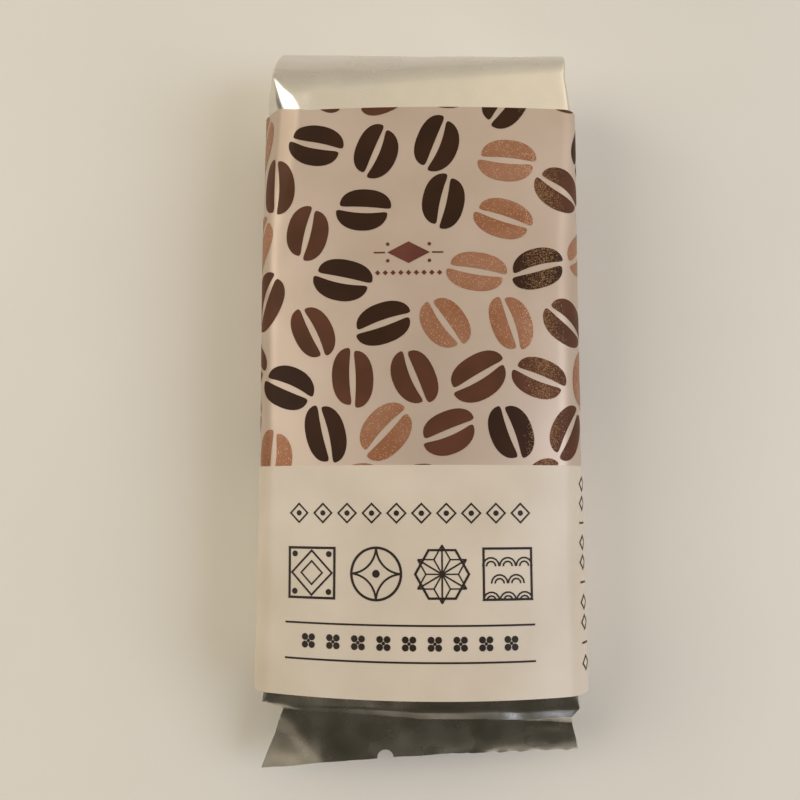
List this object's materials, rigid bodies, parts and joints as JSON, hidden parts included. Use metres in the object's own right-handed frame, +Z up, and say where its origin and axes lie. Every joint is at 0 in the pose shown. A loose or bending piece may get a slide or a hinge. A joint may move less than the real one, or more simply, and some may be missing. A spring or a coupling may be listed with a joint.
{
  "type": "foil-packed yokan bar with a paper sleeve",
  "caption": "Shut foil pouch round a bar of sweet bean jelly, lying flat in a printed paper sleeve, with a seal fin at the near end and the far seal folded under.",
  "frame": {"origin": "on the resting surface, below the middle of the whole pack", "axes": "+Z up, +Y along the bar from the flat seal fin to the end whose seal is folded under, +X to the right seen from above with the fin nearest"},
  "size_m": [0.062, 0.145, 0.0285],
  "materials": {
    "foil": "satin laminated foil, softly creased",
    "sleeve_paper": "coated paper, offset printed, low sheen"
  },
  "bodies": {
    "root": {"foil_pack": "foil", "paper_sleeve": "sleeve_paper"}
  },
  "joints": []
}
